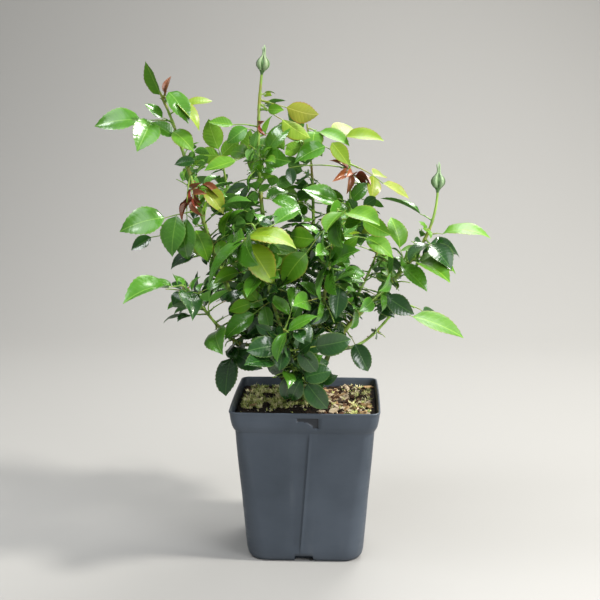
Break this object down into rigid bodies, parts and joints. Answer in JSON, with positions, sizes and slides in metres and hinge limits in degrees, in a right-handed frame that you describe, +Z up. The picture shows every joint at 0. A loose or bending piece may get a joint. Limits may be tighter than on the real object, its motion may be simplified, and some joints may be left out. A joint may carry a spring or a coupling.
{
  "type": "potted rose bush",
  "caption": "Young rose bush with forking canes, glossy leaves and closed buds, growing in a tapered square nursery pot filled with compost.",
  "frame": {"origin": "centre of the pot's flat underside", "axes": "+X to the right seen from the front, +Y away from the viewer, so the front of the pot faces -Y, and +Z up along the canes"},
  "size_m": [0.538, 0.411, 0.7258],
  "materials": {
    "pot_plastic": "satin slate grey moulded plastic",
    "compost_mix": "dark peat and bark with bits of moss",
    "old_bark": "rough brown bark",
    "cane_bark": "smooth green to brown bark with prickles",
    "foliage": "glossy leaves from deep green to yellow-green, with bronze young ones"
  },
  "bodies": {
    "root": {"pot": "pot_plastic", "compost": "compost_mix", "stem_union": "old_bark", "tall_left_cane": "cane_bark", "centre_bud_cane": "cane_bark", "right_bud_cane": "cane_bark", "upper_right_cane": "cane_bark", "low_front_cane": "cane_bark", "back_left_cane": "cane_bark", "back_centre_cane": "cane_bark", "front_right_cane": "cane_bark", "low_left_cane": "cane_bark", "low_right_cane": "cane_bark", "front_left_cane": "cane_bark", "low_back_cane": "cane_bark", "back_right_cane": "cane_bark", "tall_left_leaves": "foliage", "centre_bud_leaves": "foliage", "right_bud_leaves": "foliage", "upper_right_leaves": "foliage", "low_front_leaves": "foliage", "back_left_leaves": "foliage", "back_centre_leaves": "foliage", "front_right_leaves": "foliage", "low_left_leaves": "foliage", "low_right_leaves": "foliage", "front_left_leaves": "foliage", "low_back_leaves": "foliage", "back_right_leaves": "foliage"}
  },
  "joints": []
}
